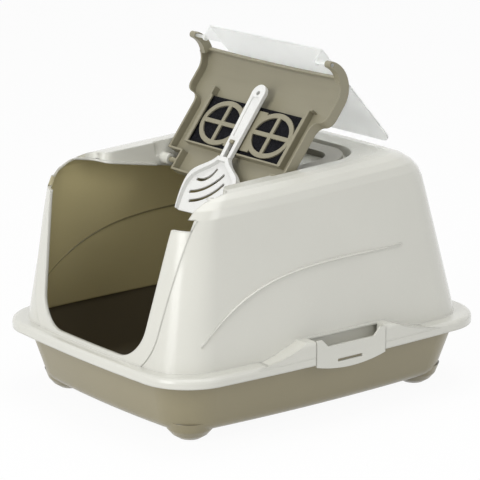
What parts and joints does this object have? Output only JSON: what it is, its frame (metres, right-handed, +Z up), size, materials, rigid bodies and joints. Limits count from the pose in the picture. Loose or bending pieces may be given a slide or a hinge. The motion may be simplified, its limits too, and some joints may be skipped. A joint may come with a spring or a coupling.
{
  "type": "covered litter box",
  "caption": "Covered pet litter box: tray on feet, hood with open front, flip-up roof lid with filter holder and swing flap, hanging scoop, carry handle and side clips.",
  "frame": {"origin": "under the middle of the box, at the bottom of its feet", "axes": "+Z up, the entry faces -Y, +Y along the length towards the rear, +X to the side"},
  "size_m": [0.458, 0.577, 0.5022],
  "materials": {
    "taupe": "moulded satin",
    "off_white": "moulded satin",
    "taupe_lid": "moulded satin",
    "frosted": "frosted translucent",
    "charcoal_foam": "open foam",
    "white": "moulded satin",
    "grey": "moulded satin"
  },
  "bodies": {
    "base": {"tray": "taupe", "hood": "off_white"},
    "lid": {"lid": "taupe_lid", "filter_holder": "taupe_lid", "carbon_filter": "charcoal_foam"},
    "flap": {"flap": "frosted"},
    "scoop": {"scoop": "white"},
    "handle": {"carry_handle": "grey"},
    "clip_right": {"side_clip_right": "off_white"},
    "clip_left": {"side_clip_left": "off_white"}
  },
  "joints": [
    {"name": "lid_hinge", "type": "hinge", "parent": "base", "child": "lid", "pos_m": [0, -0.0397, 0.316], "axis": [1, 0, 0], "range_deg": [0, 117.4]},
    {"name": "flap_swing", "type": "hinge", "parent": "lid", "child": "flap", "pos_m": [0, 0.03088, 0.4859], "axis": [1, 0, 0], "range_deg": [0, 260]},
    {"name": "scoop_lift", "type": "slide", "parent": "lid", "child": "scoop", "axis": [0, -0.7965, 0.6046], "range_m": [0, 0.025]},
    {"name": "handle_lift", "type": "hinge", "parent": "base", "child": "handle", "pos_m": [0, 0.00961, 0.33102], "axis": [1, 0, 0], "range_deg": [0, 50]},
    {"name": "clip_right_swing", "type": "hinge", "parent": "base", "child": "clip_right", "pos_m": [0.219, 0, 0.118], "axis": [0, -1, 0], "range_deg": [0, 95]},
    {"name": "clip_left_swing", "type": "hinge", "parent": "base", "child": "clip_left", "pos_m": [-0.219, 0, 0.118], "axis": [0, 1, 0], "range_deg": [0, 95]}
  ]
}
